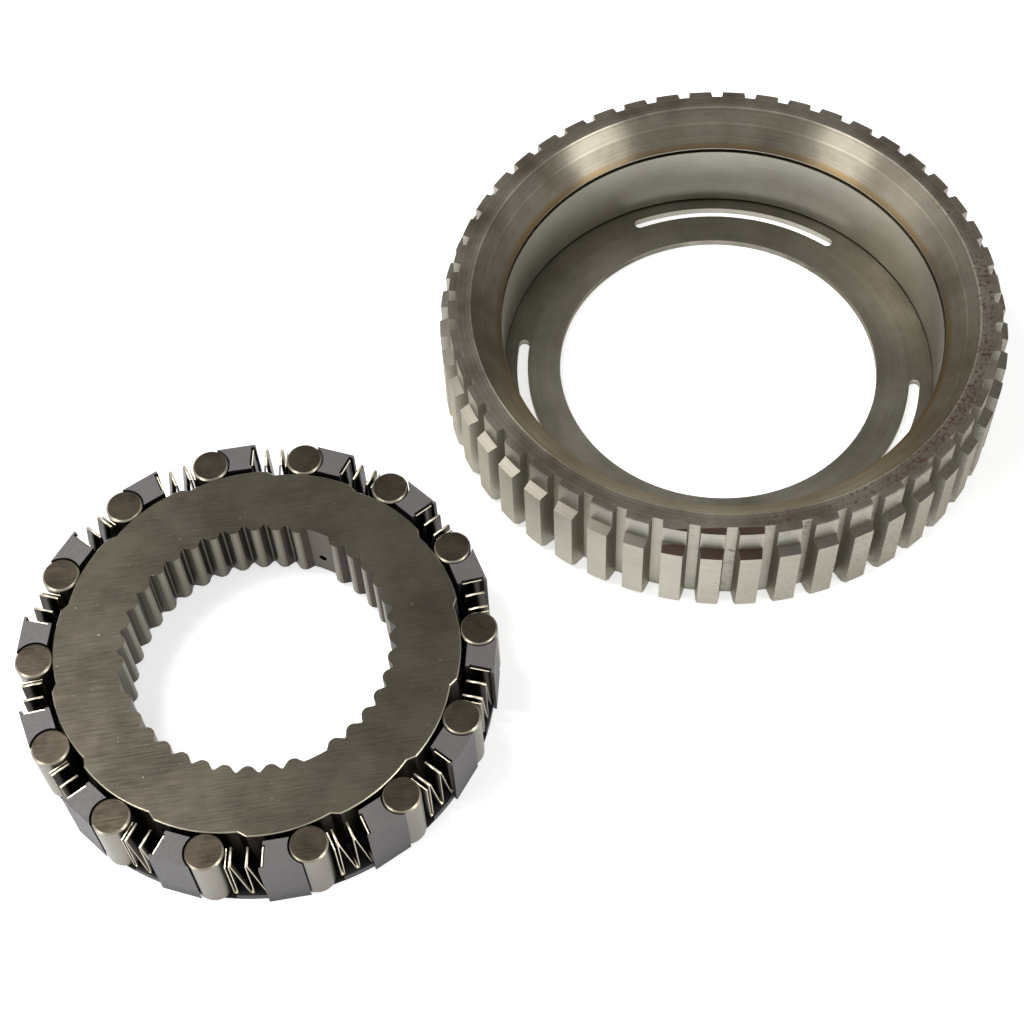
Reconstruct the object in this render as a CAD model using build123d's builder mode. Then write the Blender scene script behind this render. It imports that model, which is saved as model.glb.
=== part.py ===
"""Cam-and-roller one-way clutch, lying flat, with its outer race laid beside it.

The cam ring stands on the thin base of the roller cage. Fourteen rollers stand between the cam's ramps and
the cage's blocks, each pushed clockwise, up its ramp, by a folded ribbon spring. The outer race slides over
the rollers in use: here it lies on the same surface, next to them.

Frame: origin on the cam's axis in the resting plane, +Z up. Lengths in millimetres, angles in degrees,
counter-clockwise seen from above.
"""
import os
from math import cos, hypot, radians, sin, sqrt

from build123d import *

os.makedirs("parts", exist_ok=True)

# Rollers
roller_count = 14
roller_diameter = 9.5
roller_chamfer = 0.45
roller_pitch_radius = 56.0
first_roller_angle = 80.2
roller_travel = 2.0
roller_end_clearance = 0.05

# Ramps of the cam: each is an arc about a point off the cam's axis
cam_width = 19.2
ramp_centre_offset = 13.3
ramp_centre_lag = 13.5
ramp_clearance = 0.05
step_foot_lead = 7.8
step_top_lead = 10.2
step_crown_fillet = 0.6
cam_edge_chamfer = 0.25
cam_edge_taper = 45.0

# Splined bore of the cam, with some crests left out
bore_crest_radius = 33.4
spline_depth = 1.75
spline_places = 39
spline_phase = 6.5
valley_mouth_width = 3.3
valley_floor_width = 0.5
crest_chamfer = 0.4
crest_corner_tolerance = 0.01
left_out_after_valley = (6, 20, 31)
oil_hole_diameter = 2.2
oil_hole_height = 6.0

# Roller cage: a base ring with a thinner flange under the cam and a thin floor under each roller
cage_base_thickness = 2.3
cage_flange_thickness = 1.5
cage_flange_width = 4.0
cage_key_clearance = 0.15
pocket_floor_thickness = 0.45
base_edge_setback = 0.95
block_setback = 0.3
block_top_drop = 0.2
block_cam_gap = 1.35
roller_seat_gap = 0.4
outer_lip_depth = 1.1
outer_lip_width = 1.0
inner_lip_depth = 0.6
inner_lip_width = 0.7

# Ribbon springs
spring_lead = 9.0
spring_room = 9.7
ribbon_thickness = 0.3
ribbon_width = 5.0
roller_leaf_clearance = 0.15
block_leaf_clearance = 0.4
spring_side_clearance = 0.1
spring_floor_gap = 0.1
spring_top_drop = 0.8
roller_leaf_drop = 0.7
foot_fold_width = 0.85
crown_fold_width = 0.5
crown_fold_lead = 0.1
fold_count = 2

# Outer race: place, and its section from the raceway outwards and from the floor up
race_place = (123.4, 96.1)
race_roller_clearance = 0.05
race_floor_thickness = 2.0
race_hole_radius = 45.0
raceway_spare = 0.8
corner_relief = 0.5
relief_groove_height = 0.9
relief_groove_depth = 1.3
lip_height = 0.3
lip_depth = 0.4
lead_in_height = 5.3
lead_in_width = 4.8
mouth_cone_height = 3.6
mouth_cone_width = 3.1
rim_width = 3.9
race_edge_chamfer = 0.3

# Outer race: teeth, low ones at the mouth and full ones below their shoulder
tooth_count = 48
tooth_phase = 1.6
upper_tooth_height = 2.1
lower_tooth_height = 4.8
shoulder_height = 24.8
shoulder_rise = 0.9
tooth_end_bevel = 1.6
groove_floor_width = 2.8
groove_flank_angle = 11.0

# Outer race: slots in the floor
slot_count = 3
slot_phase = 81.0
slot_arc = 60.0
slot_width = 3.0
slot_raceway_gap = 3.6

# Sizes that follow from the ones above
roller_radius = roller_diameter / 2
roller_spacing = 360 / roller_count
cam_base = cage_flange_thickness
cam_top = cam_base + cam_width
roller_base = pocket_floor_thickness + roller_end_clearance
roller_length = cam_top - roller_base
ramp_centre_x = ramp_centre_offset * cos(radians(ramp_centre_lag))
ramp_centre_y = -ramp_centre_offset * sin(radians(ramp_centre_lag))
ramp_radius = hypot(roller_pitch_radius - ramp_centre_x, ramp_centre_y) - roller_radius - ramp_clearance
cam_peak_radius = ramp_centre_offset + ramp_radius
bore_root_radius = bore_crest_radius + spline_depth
spline_pitch = 360 / spline_places

block_inner_radius = cam_peak_radius + block_cam_gap
block_outer_radius = roller_pitch_radius + roller_radius - block_setback
block_top = cam_top - block_top_drop
cage_base_outer_radius = block_outer_radius - base_edge_setback
cage_base_inner_radius = cam_peak_radius - cage_flange_width
roller_seat_radius = roller_radius + roller_seat_gap

roller_side = roller_radius - roller_pitch_radius * sin(radians(spring_lead))
recess_side = roller_side + spring_room
recess_outer_reach = block_outer_radius - outer_lip_width
recess_inner_reach = block_inner_radius + inner_lip_width

raceway_radius = roller_pitch_radius + roller_radius + race_roller_clearance
lip_radius = raceway_radius + lip_depth
lead_in_radius = lip_radius + lead_in_width
mouth_radius = lead_in_radius + mouth_cone_width
tooth_root_radius = mouth_radius + rim_width
upper_tooth_radius = tooth_root_radius + upper_tooth_height
lower_tooth_radius = tooth_root_radius + lower_tooth_height
raceway_top = race_floor_thickness + roller_length + raceway_spare
relief_groove_top = raceway_top + relief_groove_height
lip_top = relief_groove_top + lip_height
lead_in_top = lip_top + lead_in_height
race_top = lead_in_top + mouth_cone_height
slot_radius = raceway_radius - slot_raceway_gap - slot_width / 2


def polar(radius, angle):
    """Point at a radius and an angle about the cam's axis."""
    return (radius * cos(radians(angle)), radius * sin(radians(angle)))


def in_frame(angle, side, reach):
    """Point given by its distance along and across the ray at an angle: reach outwards, side to the left."""
    c = cos(radians(angle))
    s = sin(radians(angle))
    return (reach * c - side * s, reach * s + side * c)


def reach_on_circle(radius, side):
    """How far out along a ray a circle about the cam's axis lies, a distance to one side of the ray."""
    return sqrt(radius**2 - side**2)


def ramp_point(roller_angle, lead):
    """Point of the ramp that serves one roller, at an angle ahead of that roller."""
    off_centre = radians(lead + ramp_centre_lag)
    reach = ramp_centre_offset * cos(off_centre)
    reach += sqrt(ramp_radius**2 - (ramp_centre_offset * sin(off_centre)) ** 2)
    return polar(reach, roller_angle + lead)


def roller_angle(index):
    """Angle of a roller, numbered clockwise from the first."""
    return first_roller_angle - index * roller_spacing


def seat_corner(angle, radius):
    """Where a roller's seat in its block meets a circle about the cam's axis, on the block's side."""
    reach = (radius**2 + roller_pitch_radius**2 - roller_seat_radius**2) / (2 * roller_pitch_radius)
    return in_frame(angle, -sqrt(radius**2 - reach**2), reach)


# Cam ring: fourteen ramps with a step between each and the next, splined bore, oil hole
with BuildPart() as cam_ring:
    with BuildSketch(Plane.XY.offset(cam_base + cam_edge_chamfer)) as ramp_sketch:
        with BuildLine():
            for index in reversed(range(roller_count)):
                angle = roller_angle(index)
                ramp_start = ramp_point(angle, step_top_lead - roller_spacing)
                ramp_middle = ramp_point(angle, (step_top_lead - roller_spacing + step_foot_lead) / 2)
                ramp_end = ramp_point(angle, step_foot_lead)
                next_start = ramp_point(angle + roller_spacing, step_top_lead - roller_spacing)
                ThreePointArc(ramp_start, ramp_middle, ramp_end)
                Line(ramp_end, next_start)
        make_face()
        step_foot_radius = hypot(*ramp_point(0, step_foot_lead))
        crowns = ramp_sketch.vertices().filter_by(
            lambda corner: hypot(corner.X, corner.Y) > (step_foot_radius + cam_peak_radius) / 2
        )
        fillet(crowns, step_crown_fillet)
        cam_outline = ramp_sketch.sketch_local.face()
    extrude(amount=cam_width - 2 * cam_edge_chamfer)
    extrude(cam_ring.faces().sort_by(Axis.Z)[-1], amount=cam_edge_chamfer, taper=cam_edge_taper)
    extrude(cam_ring.faces().sort_by(Axis.Z)[0], amount=cam_edge_chamfer, taper=cam_edge_taper)
    with BuildSketch(Plane.XY.offset(cam_base)) as bore_sketch:
        Circle(bore_crest_radius)
        with PolarLocations(bore_crest_radius, spline_places, start_angle=spline_phase):
            Polygon(
                (-spline_depth, -valley_mouth_width / 2 - spline_depth),
                (spline_depth, -valley_floor_width / 2),
                (spline_depth, valley_floor_width / 2),
                (-spline_depth, valley_mouth_width / 2 + spline_depth),
                align=None,
            )
        for valley in left_out_after_valley:
            first = spline_phase + valley * spline_pitch
            last = first + spline_pitch
            with BuildLine():
                Line(polar(bore_crest_radius - spline_depth, first), polar(bore_root_radius, first))
                ThreePointArc(
                    polar(bore_root_radius, first),
                    polar(bore_root_radius, (first + last) / 2),
                    polar(bore_root_radius, last),
                )
                Line(polar(bore_root_radius, last), polar(bore_crest_radius - spline_depth, last))
                Line(polar(bore_crest_radius - spline_depth, last), polar(bore_crest_radius - spline_depth, first))
            make_face()
        crest_corners = bore_sketch.vertices().filter_by(
            lambda corner: abs(hypot(corner.X, corner.Y) - bore_crest_radius) < crest_corner_tolerance
        )
        chamfer(crest_corners, crest_chamfer)
    extrude(amount=cam_width, mode=Mode.SUBTRACT)
    oil_hole_angle = spline_phase + (left_out_after_valley[0] + 0.5) * spline_pitch
    oil_hole_start = Plane(
        origin=(0, 0, cam_base + oil_hole_height),
        x_dir=(0, 0, 1),
        z_dir=(cos(radians(oil_hole_angle)), sin(radians(oil_hole_angle)), 0),
    )
    with BuildSketch(oil_hole_start):
        Circle(oil_hole_diameter / 2)
    extrude(amount=cam_peak_radius + block_cam_gap, mode=Mode.SUBTRACT)
cam_ring.part.label = "cam_ring"
export_step(cam_ring.part, "parts/cam_ring.step")

# Roller cage: base ring keyed to the cam's outline, pockets for the rollers, one upright block per roller
with BuildPart() as roller_cage:
    with BuildSketch(Plane.XY):
        Circle(cage_base_outer_radius)
        Circle(cage_base_inner_radius, mode=Mode.SUBTRACT)
    extrude(amount=cage_base_thickness)
    with BuildSketch(Plane.XY.offset(cage_flange_thickness)):
        offset(cam_outline, amount=cage_key_clearance)
    extrude(amount=cage_base_thickness, mode=Mode.SUBTRACT)
    with BuildSketch(Plane.XY.offset(pocket_floor_thickness)):
        for index in range(roller_count):
            angle = roller_angle(index)
            with Locations(Location((*in_frame(angle, roller_travel / 2, roller_pitch_radius), 0), angle + 90)):
                SlotCenterToCenter(roller_travel, 2 * roller_seat_radius)
    extrude(amount=cage_base_thickness, mode=Mode.SUBTRACT)
    with BuildSketch(Plane.XY):
        for index in range(roller_count):
            angle = roller_angle(index)
            recess_angle = angle - roller_spacing + spring_lead
            outer_lip_side = recess_side - outer_lip_depth
            inner_lip_side = recess_side - inner_lip_depth
            outer_corner = seat_corner(angle, block_outer_radius)
            inner_corner = seat_corner(angle, block_inner_radius)
            with BuildLine():
                Polyline(
                    inner_corner,
                    in_frame(recess_angle, inner_lip_side, reach_on_circle(block_inner_radius, inner_lip_side)),
                    in_frame(recess_angle, inner_lip_side, recess_inner_reach),
                    in_frame(recess_angle, recess_side, recess_inner_reach),
                    in_frame(recess_angle, recess_side, recess_outer_reach),
                    in_frame(recess_angle, outer_lip_side, recess_outer_reach),
                    in_frame(recess_angle, outer_lip_side, reach_on_circle(block_outer_radius, outer_lip_side)),
                    outer_corner,
                )
                ThreePointArc(
                    outer_corner,
                    in_frame(angle, -roller_seat_radius, roller_pitch_radius),
                    inner_corner,
                )
            make_face()
    extrude(amount=block_top)
roller_cage.part.label = "roller_cage"
export_step(roller_cage.part, "parts/roller_cage.step")

# Rollers: plain cylinders with chamfered ends, each standing on its pocket's floor
for index in range(roller_count):
    roller_x, roller_y = polar(roller_pitch_radius, roller_angle(index))
    with BuildPart() as roller:
        with BuildSketch(Plane(origin=(roller_x, roller_y, roller_base))):
            Circle(roller_radius)
        extrude(amount=roller_length)
        chamfer(roller.edges().filter_by(GeomType.CIRCLE), roller_chamfer)
    roller.part.label = f"roller_{index + 1:02d}"
    export_step(roller.part, f"parts/roller_{index + 1:02d}.step")

# Springs: one folded ribbon between each roller and the next block's pocket
roller_leaf = roller_side + roller_leaf_clearance + ribbon_thickness / 2
block_leaf = recess_side - block_leaf_clearance - ribbon_thickness / 2
fold_spacing = (block_leaf - roller_leaf - foot_fold_width) / fold_count
spring_foot = cage_base_thickness + spring_floor_gap + ribbon_thickness / 2
spring_crown = cam_top - spring_top_drop - ribbon_thickness / 2
ribbon_inner_reach = recess_inner_reach + spring_side_clearance

spring_bends = []
for fold in range(fold_count):
    foot_start = roller_leaf + fold * fold_spacing
    crown_start = foot_start + foot_fold_width + crown_fold_lead
    spring_bends += [(foot_start, spring_foot), (foot_start + foot_fold_width, spring_foot)]
    spring_bends += [(crown_start, spring_crown), (crown_start + crown_fold_width, spring_crown)]
spring_bends += [(block_leaf - foot_fold_width, spring_foot), (block_leaf, spring_foot)]

for index in range(roller_count):
    angle = roller_angle(index) + spring_lead
    ray = Vector(cos(radians(angle)), sin(radians(angle)), 0)
    # Local x runs counter-clockwise round the clutch, local y is up and the plane faces outwards
    spring_plane = Plane(origin=ray * ribbon_inner_reach, x_dir=(-ray.Y, ray.X, 0), z_dir=ray)
    with BuildPart() as spring:
        with BuildSketch(spring_plane):
            with BuildLine():
                Polyline((roller_leaf, spring_crown - roller_leaf_drop), *spring_bends, (block_leaf, spring_crown))
            trace(line_width=ribbon_thickness)
        extrude(amount=ribbon_width)
    spring.part.label = f"spring_{index + 1:02d}"
    export_step(spring.part, f"parts/spring_{index + 1:02d}.step")

# Outer race: turned section, external teeth, slotted floor
race_origin = Vector(race_place[0], race_place[1], 0)
with BuildPart() as outer_race:
    with BuildSketch(Plane(origin=race_origin, x_dir=(1, 0, 0), z_dir=(0, -1, 0))):
        with BuildLine():
            Polyline(
                (race_hole_radius, 0),
                (lower_tooth_radius - tooth_end_bevel, 0),
                (lower_tooth_radius, tooth_end_bevel),
                (lower_tooth_radius, shoulder_height),
                (upper_tooth_radius, shoulder_height + shoulder_rise),
                (upper_tooth_radius, race_top - race_edge_chamfer),
                (upper_tooth_radius - race_edge_chamfer, race_top),
                (mouth_radius, race_top),
                (lead_in_radius, lead_in_top),
                (lip_radius, lip_top),
                (lip_radius, relief_groove_top),
                (raceway_radius + relief_groove_depth, relief_groove_top),
                (raceway_radius + relief_groove_depth, raceway_top),
                (raceway_radius, raceway_top),
                (raceway_radius, race_floor_thickness + corner_relief),
                (raceway_radius + corner_relief, race_floor_thickness + corner_relief),
                (raceway_radius + corner_relief, race_floor_thickness),
                (race_hole_radius, race_floor_thickness),
                close=True,
            )
        make_face()
    revolve(axis=Axis(race_origin, (0, 0, 1)))
    with BuildSketch(Plane(origin=race_origin)):
        groove_depth = 2 * lower_tooth_height
        groove_spread = groove_depth * sin(radians(groove_flank_angle)) / cos(radians(groove_flank_angle))
        with PolarLocations(tooth_root_radius, tooth_count, start_angle=tooth_phase + 180 / tooth_count):
            Polygon(
                (0, -groove_floor_width / 2),
                (groove_depth, -groove_floor_width / 2 - groove_spread),
                (groove_depth, groove_floor_width / 2 + groove_spread),
                (0, groove_floor_width / 2),
                align=None,
            )
    extrude(amount=race_top, mode=Mode.SUBTRACT)
    with BuildSketch(Plane(origin=race_origin)):
        for slot in range(slot_count):
            slot_start = slot_phase + slot * 360 / slot_count - slot_arc / 2
            with BuildLine(mode=Mode.PRIVATE) as slot_line:
                CenterArc((0, 0), slot_radius, slot_start, slot_arc)
            SlotArc(slot_line.edge(), slot_width)
    extrude(amount=race_floor_thickness, mode=Mode.SUBTRACT)
outer_race.part.label = "outer_race"
export_step(outer_race.part, "parts/outer_race.step")
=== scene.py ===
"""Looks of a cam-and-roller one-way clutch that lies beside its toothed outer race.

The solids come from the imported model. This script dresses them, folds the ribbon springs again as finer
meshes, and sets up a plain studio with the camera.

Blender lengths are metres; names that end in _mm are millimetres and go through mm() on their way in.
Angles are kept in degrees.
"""

import logging
import math
from dataclasses import dataclass
from enum import Enum
from typing import Any

import bpy
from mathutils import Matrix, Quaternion, Vector

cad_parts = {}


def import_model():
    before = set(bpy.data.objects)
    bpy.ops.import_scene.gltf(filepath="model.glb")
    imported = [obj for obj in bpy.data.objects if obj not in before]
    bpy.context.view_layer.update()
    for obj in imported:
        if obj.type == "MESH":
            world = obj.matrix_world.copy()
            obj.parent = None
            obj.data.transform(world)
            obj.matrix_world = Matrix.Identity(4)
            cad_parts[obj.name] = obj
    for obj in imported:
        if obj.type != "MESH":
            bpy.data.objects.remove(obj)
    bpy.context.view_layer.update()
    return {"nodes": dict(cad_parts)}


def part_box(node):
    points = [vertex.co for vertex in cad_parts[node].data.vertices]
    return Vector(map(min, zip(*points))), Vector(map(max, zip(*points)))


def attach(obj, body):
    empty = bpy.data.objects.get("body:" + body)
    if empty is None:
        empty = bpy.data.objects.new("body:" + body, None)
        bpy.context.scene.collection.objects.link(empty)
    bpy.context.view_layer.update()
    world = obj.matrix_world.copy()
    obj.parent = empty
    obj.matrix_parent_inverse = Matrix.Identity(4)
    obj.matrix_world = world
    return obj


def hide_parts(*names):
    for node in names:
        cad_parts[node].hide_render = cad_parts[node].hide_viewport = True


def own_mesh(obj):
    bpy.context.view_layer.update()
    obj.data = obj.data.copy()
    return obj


log = logging.getLogger("roller_clutch")

# Ramps, rollers, springs and cage blocks about the clutch's axis
STATION_COUNT = 14

Colour = tuple[float, float, float, float]
Pair = tuple[float, float]
Triple = tuple[float, float, float]
Tree = bpy.types.NodeTree
Socket = bpy.types.NodeSocket


def mm(length_mm: float) -> float:
    """Turn a length in millimetres into metres."""
    return length_mm / 1000.0


def per_size(size_mm: float) -> float:
    """Give the texture scale at which a pattern repeats about every size_mm on Object coordinates."""
    return 1000.0 / size_mm


def linear(hex_colour: str) -> Colour:
    """Turn an sRGB hex colour into linear RGBA.

    Args:
        hex_colour: a colour such as "#8a8478".

    Returns:
        The same colour as the shader sockets take it, with alpha 1.
    """
    channels = [int(hex_colour[i : i + 2], 16) / 255.0 for i in (1, 3, 5)]
    red, green, blue = [c / 12.92 if c <= 0.04045 else ((c + 0.055) / 1.055) ** 2.4 for c in channels]
    return (red, green, blue, 1.0)


def add_node(
    tree: Tree,
    kind: str,
    feeds: dict[str | int, Any] | None = None,
    out: int | str = 0,
    stops: dict[float, Colour] | None = None,
    **settings: Any,
) -> Socket | None:
    """Add a node to a tree, with its settings and its links.

    Args:
        tree: the node tree of a material, the world or a modifier.
        kind: the node's type name.
        feeds: inputs by name or number; each is a constant or another node's output.
        out: the output asked for, by name or number.
        stops: colours of a ramp by their places from 0 to 1.
        **settings: attributes of the node to set.

    Returns:
        The output asked for, or None where the node has no output.
    """
    node = tree.nodes.new(kind)
    for name, value in settings.items():
        setattr(node, name, value)
    for key, value in (feeds or {}).items():
        if isinstance(value, bpy.types.NodeSocket):
            tree.links.new(value, node.inputs[key])
        else:
            node.inputs[key].default_value = value
    if stops:
        ramp = node.color_ramp.elements
        ramp.remove(ramp[-1])
        ramp[0].position = min(stops)
        ramp[0].color = stops[min(stops)]
        for place in sorted(stops)[1:]:
            ramp.new(place).color = stops[place]
    return node.outputs[out] if len(node.outputs) else None


class Face(Enum):
    """Ways a surface can face, as the range of its normal's upward part over which a mask fades in."""

    UPWARD = (0.93, 0.98)
    SLOPING_OR_UPWARD = (0.25, 0.40)


@dataclass(frozen=True)
class Finish:
    """A finish, with the patterns that several of them share."""

    name: str

    def material(self) -> bpy.types.Material:
        """Build the finish as a material with a Principled shader.

        Returns:
            The material.
        """
        made = bpy.data.materials.new(self.name)
        made.use_nodes = True
        tree = made.node_tree
        tree.nodes.clear()
        shader = add_node(tree, "ShaderNodeBsdfPrincipled", self.dress(tree))
        add_node(tree, "ShaderNodeOutputMaterial", {"Surface": shader})
        return made

    def dress(self, tree: Tree) -> dict[str, Any]:
        """Build the patterns and give the shader's inputs; each finish does it its own way."""
        raise NotImplementedError

    def place(
        self,
        tree: Tree,
        centre: Vector | Triple = (0.0, 0.0, 0.0),
        stretch: Triple = (1.0, 1.0, 1.0),
        turn: float = 0.0,
    ) -> Socket:
        """Lay out the coordinates of a pattern.

        Args:
            tree: the material's tree.
            centre: the point that becomes the pattern's origin.
            stretch: scale along each axis after the turn.
            turn: angle about Z, in degrees.

        Returns:
            Object coordinates moved, turned and stretched.
        """
        here = add_node(tree, "ShaderNodeTexCoord", out="Object")
        feeds = {"Vector": here, "Location": centre, "Rotation": (0, 0, math.radians(turn))}
        turned = add_node(tree, "ShaderNodeMapping", feeds, vector_type="TEXTURE")
        return add_node(tree, "ShaderNodeVectorMath", {0: turned, 1: stretch}, operation="MULTIPLY")

    def facing(self, tree: Tree, face: Face) -> Socket:
        """Mask that is 1 where the surface faces the given way.

        Args:
            tree: the material's tree.
            face: the way asked for.

        Returns:
            The mask.
        """
        normal = add_node(tree, "ShaderNodeNewGeometry", out="Normal")
        upward = add_node(tree, "ShaderNodeSeparateXYZ", {0: normal}, "Z")
        low, high = face.value
        return add_node(tree, "ShaderNodeMapRange", {"Value": upward, "From Min": low, "From Max": high})

    def radius(self, tree: Tree, where: Socket) -> Socket:
        """Distance from the Z axis of the given coordinates."""
        flat = add_node(tree, "ShaderNodeVectorMath", {0: where, 1: (1, 1, 0)}, operation="MULTIPLY")
        return add_node(tree, "ShaderNodeVectorMath", {0: flat}, "Value", operation="LENGTH")

    def around(self, tree: Tree, where: Socket) -> Socket:
        """Direction of turning marks: level and at right angles to the way out from the Z axis."""
        side = add_node(tree, "ShaderNodeVectorMath", {0: (0, 0, 1), 1: where}, operation="CROSS_PRODUCT")
        return add_node(tree, "ShaderNodeVectorMath", {0: side}, operation="NORMALIZE")

    def open_air(self, tree: Tree, reach_mm: float, shut: float, free: float) -> Socket:
        """Ambient-occlusion mask that tells open places from corners and slits, for painting shade.

        Args:
            tree: the material's tree.
            reach_mm: how far away a wall still counts.
            shut: open share at which the mask is 0.
            free: open share at which the mask is 1.

        Returns:
            The mask, 1 in the open.
        """
        share = add_node(tree, "ShaderNodeAmbientOcclusion", {"Distance": mm(reach_mm)}, "AO", samples=6)
        return add_node(tree, "ShaderNodeMapRange", {"Value": share, "From Min": shut, "From Max": free})


@dataclass(frozen=True)
class GroundSteel(Finish):
    """Hardened bearing steel, its ends surface ground, kept under a thin oil film.

    To the eye: olive grey flat ends with fine parallel scratches and bright nicks, darker than the walls as
    painted shade; a painted highlight on sloping edges, painted brown shade in the recesses and on one flank
    of each spline, and painted near-black shade in corners.
    """

    end_colour: str
    end_stain: str
    nick_and_highlight_colour: str
    wall_colour: str
    recess_shade_colour: str
    flank_shade_colour: str
    corner_shade_colour: str
    crest_radius_mm: float = 0.0
    crest_fade_mm: Pair = (0.05, 0.5)
    spline_depth_mm: float = 3.0
    roughness: Pair = (0.32, 0.44)
    nick_from: float = 0.70
    nick_fade: float = 0.06
    # Grinding scratches are finer than this in fact and are drawn as coarse as they need to show
    scratch_mm: float = 0.45
    scratch_turn: float = 8.0
    stain_mm: float = 20.0
    fleck_mm: float = 1.1
    corner_shade_mm: float = 3.0

    def end(self, tree: Tree, here: Socket, scratches: Socket) -> Socket:
        """Ground end with its stains, its scratches and a few bright nicks.

        Args:
            tree: the material's tree.
            here: the piece's own coordinates.
            scratches: pattern of the grinding scratches.

        Returns:
            The colour.
        """
        feeds = {"Vector": here, "Scale": per_size(self.stain_mm), "Detail": 7.0, "Roughness": 0.65}
        stains = add_node(tree, "ShaderNodeTexNoise", feeds)
        feeds = {"Value": stains, "From Min": 0.38, "From Max": 0.64, "To Max": 0.75}
        stained = add_node(tree, "ShaderNodeMapRange", feeds)
        feeds = {"Value": scratches, "From Min": 0.32, "From Max": 0.68, "To Min": -0.32, "To Max": 0.42}
        lined = add_node(tree, "ShaderNodeMapRange", feeds)
        share = add_node(tree, "ShaderNodeMath", {0: stained, 1: lined}, operation="ADD", use_clamp=True)
        feeds = {0: share, 6: linear(self.end_colour), 7: linear(self.end_stain)}
        ground = add_node(tree, "ShaderNodeMix", feeds, 2, data_type="RGBA")
        feeds = {"Vector": here, "Scale": per_size(self.fleck_mm), "Detail": 4.0, "Roughness": 0.6}
        flecks = add_node(tree, "ShaderNodeTexNoise", feeds)
        full = self.nick_from + self.nick_fade
        feeds = {"Value": flecks, "From Min": self.nick_from, "From Max": full, "To Max": 0.7}
        nicks = add_node(tree, "ShaderNodeMapRange", feeds)
        feeds = {0: nicks, 6: ground, 7: linear(self.nick_and_highlight_colour)}
        return add_node(tree, "ShaderNodeMix", feeds, 2, data_type="RGBA")

    def wall(self, tree: Tree, here: Socket) -> Socket:
        """Walls, with painted shade in the recesses behind the crests and on the spline flanks that face one
        way.

        Args:
            tree: the material's tree.
            here: the piece's own coordinates.

        Returns:
            The colour.
        """
        radius = self.radius(tree, here)
        crest = mm(self.crest_radius_mm)
        near, far = self.crest_fade_mm
        # Painted shade: the walls darken behind the crests, into the spline's valleys
        feeds = {"Value": radius, "From Min": crest + mm(near), "From Max": crest + mm(far)}
        behind = add_node(tree, "ShaderNodeMapRange", feeds)
        feeds = {0: behind, 6: linear(self.wall_colour), 7: linear(self.recess_shade_colour)}
        plain = add_node(tree, "ShaderNodeMix", feeds, 2, data_type="RGBA")
        # Painted shade: the spline flanks that face one way round the axis take a dark colour
        feeds = {0: add_node(tree, "ShaderNodeNewGeometry", out="Normal"), 1: self.around(tree, here)}
        turned = add_node(tree, "ShaderNodeVectorMath", feeds, "Value", operation="DOT_PRODUCT")
        shaded_flank = add_node(tree, "ShaderNodeMapRange", {"Value": turned, "From Min": -0.3, "From Max": -0.55})
        feeds = {0: radius, 1: crest + mm(self.spline_depth_mm)}
        inside = add_node(tree, "ShaderNodeMath", feeds, operation="LESS_THAN")
        shaded_flank = add_node(tree, "ShaderNodeMath", {0: shaded_flank, 1: inside}, operation="MULTIPLY")
        feeds = {0: shaded_flank, 6: plain, 7: linear(self.flank_shade_colour)}
        return add_node(tree, "ShaderNodeMix", feeds, 2, data_type="RGBA")

    def dress(self, tree: Tree) -> dict[str, Any]:
        """Ground ends, walls with painted brown shade in the recesses, a painted highlight on the edges
        between them, painted shade in corners.

        Args:
            tree: the material's tree.

        Returns:
            The shader's inputs by name.
        """
        here = self.place(tree)
        along = self.place(tree, stretch=(0.05, 1, 1), turn=self.scratch_turn)
        feeds = {"Vector": along, "Scale": per_size(self.scratch_mm), "Detail": 5.0, "Roughness": 0.6}
        scratches = add_node(tree, "ShaderNodeTexNoise", feeds)
        wall = self.wall(tree, here)
        # Painted highlight: sloping faces, the edges between ends and walls, take the bright nick colour
        feeds = {0: self.facing(tree, Face.SLOPING_OR_UPWARD), 6: wall, 7: linear(self.nick_and_highlight_colour)}
        highlighted_edges = add_node(tree, "ShaderNodeMix", feeds, 2, data_type="RGBA")
        # Painted shade in part: faces that look up take the darker end colour, with real stains, scratches
        # and nicks on it
        feeds = {0: self.facing(tree, Face.UPWARD), 6: highlighted_edges, 7: self.end(tree, here, scratches)}
        face = add_node(tree, "ShaderNodeMix", feeds, 2, data_type="RGBA")
        # Painted shade: near black wherever ambient occlusion finds walls close by
        feeds = {0: self.open_air(tree, self.corner_shade_mm, 0.3, 0.9), 6: linear(self.corner_shade_colour), 7: face}
        smooth, rough = self.roughness
        satin = {"Value": scratches, "From Min": 0.3, "From Max": 0.7, "To Min": smooth, "To Max": rough}
        return {
            "Base Color": add_node(tree, "ShaderNodeMix", feeds, 2, data_type="RGBA"),
            "Metallic": 1.0,
            "Roughness": add_node(tree, "ShaderNodeMapRange", satin),
            "Normal": add_node(tree, "ShaderNodeBump", {"Height": scratches, "Distance": mm(0.004)}),
        }


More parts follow.
